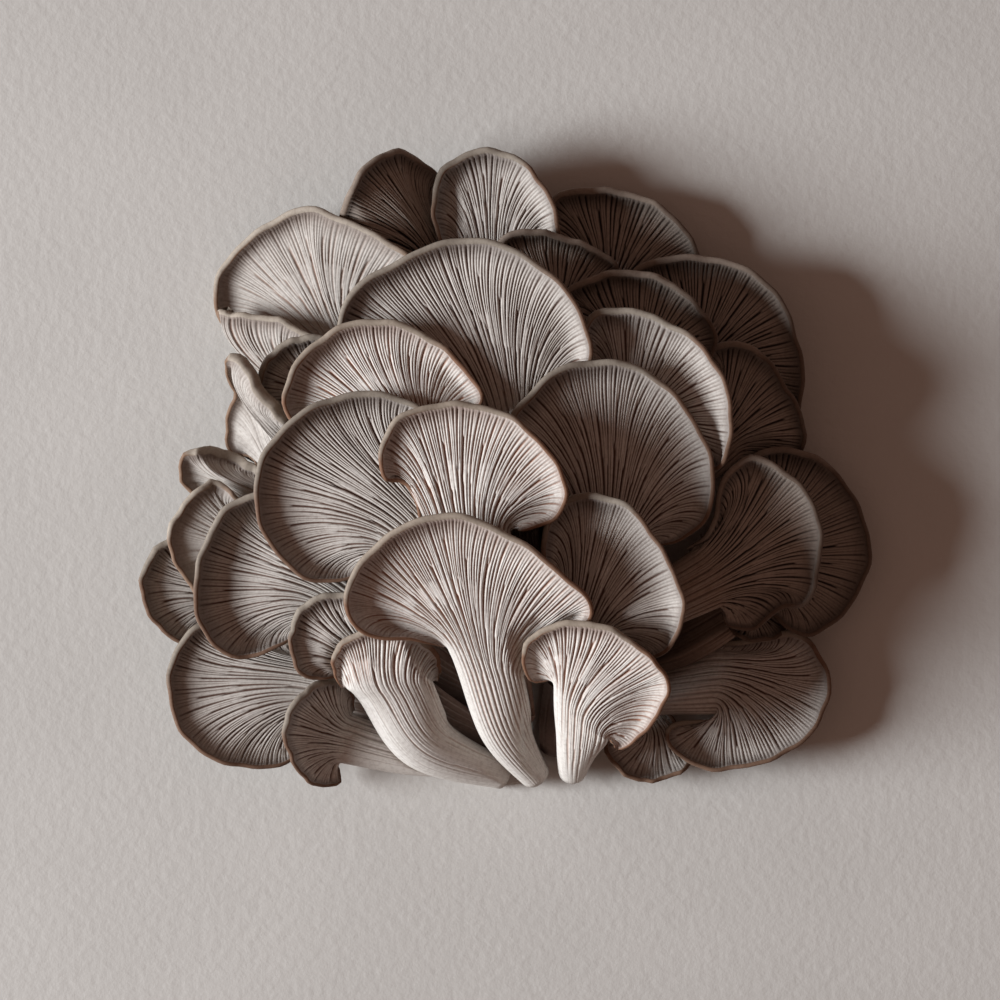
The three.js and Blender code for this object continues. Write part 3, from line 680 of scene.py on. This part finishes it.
class Skin:
    """Collects the points and faces of one closed mesh, with what its material needs on each point."""

    def __init__(self):
        self.points = []
        self.faces = []
        self.values = {name: [] for name in ATTRIBUTES}
        self.count = 0

    def add_points(self, points, **shown):
        """Index numbers of a row of new points, each with the values shown there."""
        numbers = self.count + np.arange(len(points))
        self.points.append(points)
        self.count += len(points)
        for name, value in shown.items():
            self.values[name].append(np.broadcast_to(value, len(points)).astype(np.float32))
        return numbers

    def add_strip(self, near, far):
        """Faces between two rows, where the far row has a whole number of points for each near one."""
        parts = (len(far) - 1) // (len(near) - 1)
        corners = [near[:-1], near[1:]]
        corners += [far[part:len(far) - parts + part:parts] for part in range(parts, 0, -1)]
        corners += [far[:-1:parts]]
        self.faces += np.stack(corners, axis=1).tolist()

    def add_fan(self, tip, edge):
        self.faces += [[tip, int(here), int(there)] for here, there in zip(edge[:-1], edge[1:])]

    def whole_faces(self):
        """The faces without corners that fall on the corner before."""
        cleaned = [[corner for place, corner in enumerate(face) if corner != face[place - 1]]
                   for face in self.faces]
        return [face for face in cleaned if len(face) > 2]

    def to_mesh(self, name):
        mesh = bpy.data.meshes.new(name)
        mesh.from_pydata((np.concatenate(self.points) * MM).tolist(), [], self.whole_faces())
        for attribute, parts in self.values.items():
            stored = mesh.attributes.new(attribute, "FLOAT", "POINT")
            stored.data.foreach_set("value", np.concatenate(parts))
        mesh.polygons.foreach_set("use_smooth", [True] * len(mesh.polygons))
        mesh.validate()
        return mesh


def rounded_margin(body, front):
    """Rows of points round the cap's edge, from the gill side's last row over to the back's."""
    rim_back = np.stack([np.interp(body.across, body.back_across, body.back[-1, :, axis])
                         for axis in range(3)], axis=1)
    last_step = body.front[-1] - body.front[-2]
    onward = unit(0.7 * unit(last_step) + 0.5 * body.outward)
    rounding = body.margin_rounding * body.side_taper
    roll = MARGIN_ROLL * np.minimum(1, np.linalg.norm(last_step, axis=1) / np.maximum(rounding, 0.1))
    turns = [(math.pi + roll) * row / (MARGIN_ROWS + 1) - roll for row in range(MARGIN_ROWS + 1)]
    margin = np.stack([(front[-1] + rim_back) / 2 + (front[-1] - rim_back) / 2 * np.cos(turn)[:, None]
                       + onward * (np.sin(turn) * rounding)[:, None] for turn in turns])
    margin[:, :, 2] = np.maximum(margin[:, :, 2], 0)
    return margin


def column_values(body, columns):
    """What the material needs of each column of points: a slice of the gill side's columns."""
    line = (smoothstep(0, 0.06, body.across) * (1 - smoothstep(0.94, 1, body.across))
            * smoothstep(0.1, 0.8, -body.outward[:, 0]))
    # brown is painted shade on the margin's thin side, away from the light.
    return {"sideways": body.across[columns] * body.neck_width * math.pi,
            "brown": 1 - body.thick_margin[columns], "line": line[columns]}


def add_gill_side(skin, body, front, height, tone):
    """The gill side's rows of points, with fewer columns where they stand close."""
    strides = np.where(body.row_cap_share > INNER_CAP, 1, 2)
    strides[:len(body.stem_share)] = 2 if body.name in SHOWN_STEMS else 4
    browned = np.concatenate([np.zeros(body.stem_front.shape[:2]), body.browned])
    rows = []
    for row, stride in enumerate(strides):
        columns = slice(0, None, int(stride))
        rows.append(skin.add_points(
            front[row, columns], gill=height[row, columns], tone=tone[row, columns],
            cap=body.row_cap_share[row], stem=1 - smoothstep(0, 0.35, body.row_cap_share[row]), skin=0,
            down=body.row_stem_share[row], aged=body.row_root_shade[row], browned=browned[row, columns],
            **column_values(body, columns)))
    return rows


def add_margin(skin, body, margin, last_row):
    """The rows of points round the margin; they start and end on the gill side's own corners."""
    columns = slice(MARGIN_STRIDE, -1, MARGIN_STRIDE)
    rows = []
    for row, points in enumerate(margin[1:], start=1):
        inner = skin.add_points(
            points[columns], gill=0.9, tone=0.5, cap=1, stem=0, skin=row / (MARGIN_ROWS + 1), down=1,
            aged=0, browned=body.browned[-1, columns], **column_values(body, columns))
        rows.append(np.concatenate([last_row[:1], inner, last_row[-1:]]))
    return rows


def add_back(skin, body, front_rows):
    """The back's rows of points; each starts and ends on the gill side's own corners."""
    shown = column_values(body, slice(BACK_STRIDE, -1, BACK_STRIDE)) | {"line": 0}
    rows = []
    for row, points in enumerate(body.back):
        inner = skin.add_points(
            points[1:-1], gill=0.9, tone=0.5, cap=body.row_cap_share[row],
            stem=1 - smoothstep(0, 0.5, body.row_cap_share[row]), skin=1, down=body.row_stem_share[row],
            aged=body.row_root_shade[row], browned=0, **shown)
        rows.append(np.concatenate([front_rows[row][:1], inner, front_rows[row][-1:]]))
    return rows


def add_root(skin, body):
    """The point in the middle of the stem's cut end."""
    root = body.sections["middle"][0] - body.sections["forward"][0] * (
        STEM_END_ROUNDING * body.sections["half_width"][0])
    return int(skin.add_points(root[None], gill=0.9, tone=0.5, cap=0, stem=1, skin=0, down=0, sideways=0,
                               brown=0, line=0, aged=body.row_root_shade[0], browned=0)[0])


def fruit_body_mesh(body):
    """The closed fine mesh of one fruit body, with what its material needs stored on the points."""
    height, tone, pitch = gill_pattern(body)
    depth = gill_depths(body, pitch)
    front = body.front - body.facing * (depth * (1 - height))[..., None]
    front[:, :, 2] = np.maximum(front[:, :, 2], 0)
    full_depth = np.where(body.row_cap_share > 0, GILL_DEPTH, STEM_RIDGE_DEPTH)[:, None]
    # Painted shade: the dark gap colour stands in partly for the shade in the narrow gaps, and is full
    # before a gap is fully deep.
    height = 1 - (1 - height) * np.minimum(1, GAP_CONTRAST * depth / full_depth)
    margin = rounded_margin(body, front)
    front[-1] = margin[0]

    skin = Skin()
    front_rows = add_gill_side(skin, body, front, height, tone)
    margin_rows = add_margin(skin, body, margin, front_rows[-1])
    back_rows = add_back(skin, body, front_rows)
    tip = add_root(skin, body)
    for near, far in zip(front_rows[:-1], front_rows[1:]):
        skin.add_strip(near, far)
    for near, far in zip(back_rows[:-1], back_rows[1:]):
        skin.add_strip(far, near)
    skin.add_strip(margin_rows[0][::-1], front_rows[-1][::-1])
    for near, far in zip(margin_rows[:-1], margin_rows[1:]):
        skin.add_strip(near, far)
    skin.add_strip(back_rows[-1][::-1], margin_rows[-1][::-1])
    skin.add_fan(tip, front_rows[0][::-1])
    skin.add_fan(tip, back_rows[0])
    return skin.to_mesh(body.name + "_fine")


# --- Materials ---

def srgb(red, green, blue):
    """A linear colour for the shader from its usual 0 to 255 values."""
    def linear(value):
        value /= 255
        return value / 12.92 if value <= 0.04045 else ((value + 0.055) / 1.055) ** 2.4
    return (linear(red), linear(green), linear(blue), 1.0)


class Shader:
    """A material's node tree, with short ways to add and join its nodes."""

    def __init__(self, name):
        self.material = bpy.data.materials.new(name)
        self.material.use_nodes = True
        self.nodes = self.material.node_tree.nodes
        self.links = self.material.node_tree.links
        self.surface = self.nodes["Principled BSDF"]

    def feed(self, socket, value):
        if isinstance(value, bpy.types.NodeSocket):
            self.links.new(value, socket)
        else:
            socket.default_value = value

    def set(self, name, value):
        """Set one of the surface's own inputs, such as its colour."""
        self.feed(self.surface.inputs[name], value)

    def attribute(self, name):
        node = self.nodes.new("ShaderNodeAttribute")
        node.attribute_name = name
        return node.outputs["Fac"]

    def math(self, operation, first, second=0.0):
        node = self.nodes.new("ShaderNodeMath")
        node.operation = operation
        self.feed(node.inputs[0], first)
        self.feed(node.inputs[1], second)
        return node.outputs[0]

    def mix(self, share, first, second, blend="MIX"):
        node = self.nodes.new("ShaderNodeMix")
        node.data_type = "RGBA"
        node.blend_type = blend
        self.feed(node.inputs["Factor"], share)
        self.feed(node.inputs["A"], first)
        self.feed(node.inputs["B"], second)
        return node.outputs["Result"]

    def ramp(self, value, low, high):
        node = self.nodes.new("ShaderNodeMapRange")
        node.interpolation_type = "SMOOTHSTEP"
        self.feed(node.inputs["Value"], value)
        node.inputs["From Min"].default_value = low
        node.inputs["From Max"].default_value = high
        return node.outputs["Result"]

    def noise(self, scale, detail=3.0, place=None):
        """Noise over the object itself, or over the place given."""
        if place is None:
            place = self.nodes.new("ShaderNodeTexCoord").outputs["Object"]
        node = self.nodes.new("ShaderNodeTexNoise")
        node.inputs["Scale"].default_value = scale
        node.inputs["Detail"].default_value = detail
        node.inputs["Roughness"].default_value = 0.55
        self.links.new(place, node.inputs["Vector"])
        return node.outputs["Fac"]

    def place(self, x, y, z):
        node = self.nodes.new("ShaderNodeCombineXYZ")
        self.feed(node.inputs[0], x)
        self.feed(node.inputs[1], y)
        self.feed(node.inputs[2], z)
        return node.outputs[0]

    def bump(self, height, strength, distance):
        node = self.nodes.new("ShaderNodeBump")
        node.inputs["Strength"].default_value = strength
        node.inputs["Distance"].default_value = distance
        self.links.new(height, node.inputs["Height"])
        self.links.new(node.outputs["Normal"], self.surface.inputs["Normal"])


def stem_flesh(shader, fibres, stem_colour, gill_edge, gap):
    """The fibrous flesh of a stem, with painted shade towards the root where other bodies cover it."""
    flesh = shader.mix(shader.ramp(fibres, 0.3, 0.7), stem_colour, gill_edge)
    # Painted shade: the covered root takes on the gap colour.
    root = shader.mix(0.8, flesh, gap)
    return shader.mix(shader.ramp(shader.attribute("aged"), 0.05, 0.6), flesh, root)


def gill_flesh(shader, gill_edge, gap):
    """Pale gill edges over gaps whose dark brown is partly painted shade; both get more painted shade
    towards the margin.
    """
    browned = shader.attribute("browned")
    shade = shader.math("MULTIPLY", shader.attribute("tone"), 0.35)
    edge = shader.mix(shade, gill_edge, shader.mix(0.35, gill_edge, gap))
    # Painted shade: gill edges and gaps near the margin are mixed towards a dark shade colour.
    shaded_gill_edge = shader.mix(0.45, gap, MARGIN_SHADE_COLOUR)
    edge = shader.mix(shader.math("MULTIPLY", browned, 0.65), edge, shaded_gill_edge)
    shaded_gap = shader.mix(shader.math("MULTIPLY", browned, 0.75), gap, MARGIN_SHADE_COLOUR)
    return shader.mix(shader.ramp(shader.attribute("gill"), 0.0, 0.9), shaded_gap, edge)


def cap_skin(shader, fibres, blotch, skin_colour, margin_colour):
    """The smooth skin of a cap's back, with darker streaks."""
    streaked = shader.mix(shader.ramp(fibres, 0.3, 0.75), skin_colour, margin_colour)
    return shader.mix(shader.ramp(blotch, 0.35, 0.75), skin_colour, streaked)


def margin_skin(shader, blotch, skin_colour, margin_colour, edge_line):
    """The felted skin of the margin, with painted shade where it is thin, on the side away from the
    light.
    """
    worn = shader.mix(0.4, margin_colour, skin_colour)
    felted = shader.mix(shader.ramp(blotch, 0.3, 0.7), margin_colour, worn)
    # Painted shade: the thin side of the margin is painted dark.
    shaded_thin_margin = shader.mix(0.25, edge_line, skin_colour)
    return shader.mix(shader.ramp(shader.attribute("brown"), 0.3, 0.9), felted, shaded_thin_margin)


def flesh_material(name, gill_edge, gap, stem_colour, skin_colour, margin_colour, edge_line):
    """Mushroom flesh: pale gill edges over brown gaps that are partly painted shade, a fibrous stem and
    a smooth grey-brown cap.
    """
    shader = Shader(name)
    stem = shader.attribute("stem")
    skin = shader.attribute("skin")
    fibres = shader.noise(1.0, detail=4.0, place=shader.place(
        shader.math("MULTIPLY", shader.attribute("sideways"), 1.3),
        shader.math("MULTIPLY", shader.attribute("cap"), 2.0),
        shader.math("MULTIPLY", shader.attribute("down"), 3.0)))
    mottle = shader.noise(900.0)
    blotch = shader.noise(90.0)

    smooth_stem = stem_flesh(shader, fibres, stem_colour, gill_edge, gap)
    ridges = shader.ramp(shader.attribute("gill"), 0.0, 0.9)
    # Painted shade: the stem's grooves take a mix of the gap colour.
    ridged_stem = shader.mix(ridges, shader.mix(0.5, gap, stem_colour), smooth_stem)
    front = shader.mix(stem, gill_flesh(shader, gill_edge, gap), ridged_stem)
    back = shader.mix(stem, cap_skin(shader, fibres, blotch, skin_colour, margin_colour), smooth_stem)

    # From the gill side over the margin to the back: the gills end, a brown line, the felt, the skin.
    felted = margin_skin(shader, blotch, skin_colour, margin_colour, edge_line)
    rolled = shader.mix(shader.ramp(skin, 0.6, 0.98), felted, back)
    line = shader.math("MULTIPLY", shader.attribute("line"), shader.ramp(blotch, 0.3, 0.6))
    lined = shader.mix(shader.ramp(skin, 0.1, 0.3), shader.mix(line, rolled, edge_line), rolled)
    wrapped = shader.mix(shader.ramp(skin, 0.0, 0.06), front, lined)

    specks = shader.math("MULTIPLY", shader.ramp(mottle, 0.4, 0.75), 0.22)
    colour = shader.mix(specks, wrapped, SPECK, "MULTIPLY")
    roughness = shader.math("ADD", 0.62, shader.math("MULTIPLY", mottle, 0.2))
    shader.set("Base Color", colour)
    shader.set("Roughness", roughness)
    shader.set("Specular IOR Level", 0.25)
    shader.bump(shader.math("ADD", fibres, shader.math("MULTIPLY", mottle, 0.5)), 0.3, 0.0003)
    return shader.material


SPECK = srgb(120, 96, 80)  # multiplies the flesh's colour in small specks
MARGIN_SHADE_COLOUR = srgb(30, 20, 15)  # painted shade between the gills near the margin
# The gills' edges, the gaps between them (their dark brown partly painted shade), the stem, the back's
# skin, its margin, and the brown line inside the margin.
FLESH_COLOURS = {
    "warm_flesh": ((222, 217, 211), (154, 109, 87), (202, 195, 188),
                   (120, 104, 91), (156, 142, 128), (130, 90, 66)),
    "grey_flesh": ((207, 200, 193), (96, 66, 53), (205, 197, 189),
                   (114, 102, 92), (148, 137, 125), (116, 84, 64)),
    "pale_flesh": ((191, 184, 177), (136, 108, 94), (206, 199, 192),
                   (146, 133, 120), (170, 158, 145), (124, 92, 70)),
    # brown_flesh is a darker copy of the flesh: painted shade for the caps that lie in the shade of the
    # others.
    "brown_flesh": ((180, 166, 155), (44, 29, 23), (165, 142, 126),
                    (98, 83, 72), (144, 129, 117), (104, 86, 74)),
}
FLESH = {name: flesh_material(name, *(srgb(*colour) for colour in colours))
         for name, colours in FLESH_COLOURS.items()}


def plaster_material():
    """Pale trowelled plaster: faint clouds of grey and small soft lumps."""
    shader = Shader("plaster")
    clouds = shader.noise(9.0, detail=5.0)
    lumps = shader.noise(300.0, detail=4.0)
    colour = shader.mix(shader.ramp(clouds, 0.3, 0.7), srgb(202, 198, 193), srgb(209, 205, 200))
    shader.set("Base Color", colour)
    shader.set("Roughness", 0.9)
    shader.bump(lumps, 0.5, 0.0004)
    return shader.material


# --- The cluster ---

def add_object(name, data):
    """A new object in the scene."""
    added = bpy.data.objects.new(name, data)
    bpy.context.scene.collection.objects.link(added)
    return added


def table_origin(bodies):
    """Where the tables' own origin lies in the frame: the middle offset to the CAD nodes' boxes."""
    offsets = []
    for body in bodies:
        low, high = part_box(body.name)
        reach = body.front.reshape(-1, 3)
        middle = (reach.min(axis=0) + reach.max(axis=0)) / 2 * MM
        offsets.append([(low[axis] + high[axis]) / 2 - middle[axis] for axis in range(2)])
    return np.median(offsets, axis=0)


slots = {part["node"]: part["material_slot"] for part in frame["record"]["subparts"]}
bodies = [FruitBody(name, shape, seed) for seed, (name, shape) in enumerate(MUSHROOMS.items())]
origin_x, origin_y = table_origin(bodies)
press_together(bodies)
for body in bodies:
    mesh = fruit_body_mesh(body)
    mesh.transform(Matrix.Translation((origin_x, origin_y, 0)))
    piece = add_object(body.name + "_fine", mesh)
    mesh.materials.append(FLESH[slots[body.name]])
    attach(piece, "root")
    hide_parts(body.name)


# --- The table, the light and the camera ---

FLOOR_SIZE = 6.0
VIEW_WIDTH = 0.300  # what the picture takes in, at the height VIEW_LEVEL
VIEW_LEVEL = 0.030
VIEW_CENTRE = (-1.5 * MM, -9.0 * MM)  # in the tables' own frame
LENS = 300.0
SENSOR = 36.0
LIGHT_DISTANCE = 2.8
LIGHT_SIZE = 1.3
LIGHT_HEADING = 185.0  # degrees from +X towards +Y, where the light stands
LIGHT_ELEVATION = 23.0
LIGHT_WATTS = 131.0
LIGHT_COLOUR = (0.955, 1.0, 1.035)
SKY_COLOUR = (1.0, 0.61, 0.48, 1.0)
SKY_STRENGTH = 0.15

bpy.ops.mesh.primitive_grid_add(x_subdivisions=2, y_subdivisions=2, size=FLOOR_SIZE)
floor = bpy.context.object
floor.name = "floor"
floor.data.materials.append(plaster_material())

lamp_data = bpy.data.lights.new("window", "AREA")
lamp_data.shape = "DISK"
lamp_data.size = LIGHT_SIZE
lamp_data.energy = LIGHT_WATTS
lamp_data.color = LIGHT_COLOUR
lamp = add_object("window", lamp_data)
heading = math.radians(LIGHT_HEADING)
elevation = math.radians(LIGHT_ELEVATION)
toward = Vector((math.cos(heading) * math.cos(elevation), math.sin(heading) * math.cos(elevation),
                 math.sin(elevation)))
lamp.location = toward * LIGHT_DISTANCE
lamp.rotation_euler = toward.to_track_quat("Z", "Y").to_euler()

world = bpy.data.worlds.new("studio")
world.use_nodes = True
sky = world.node_tree.nodes["Background"]
sky.inputs["Color"].default_value = SKY_COLOUR
sky.inputs["Strength"].default_value = SKY_STRENGTH
bpy.context.scene.world = world

camera_data = bpy.data.cameras.new("camera")
camera_data.lens = LENS
camera_data.sensor_width = SENSOR
camera_data.clip_end = 20.0
camera = add_object("camera", camera_data)
camera.location = (origin_x + VIEW_CENTRE[0], origin_y + VIEW_CENTRE[1],
                   VIEW_LEVEL + VIEW_WIDTH * LENS / SENSOR)
bpy.context.scene.camera = camera
bpy.context.scene.view_settings.view_transform = "Standard"
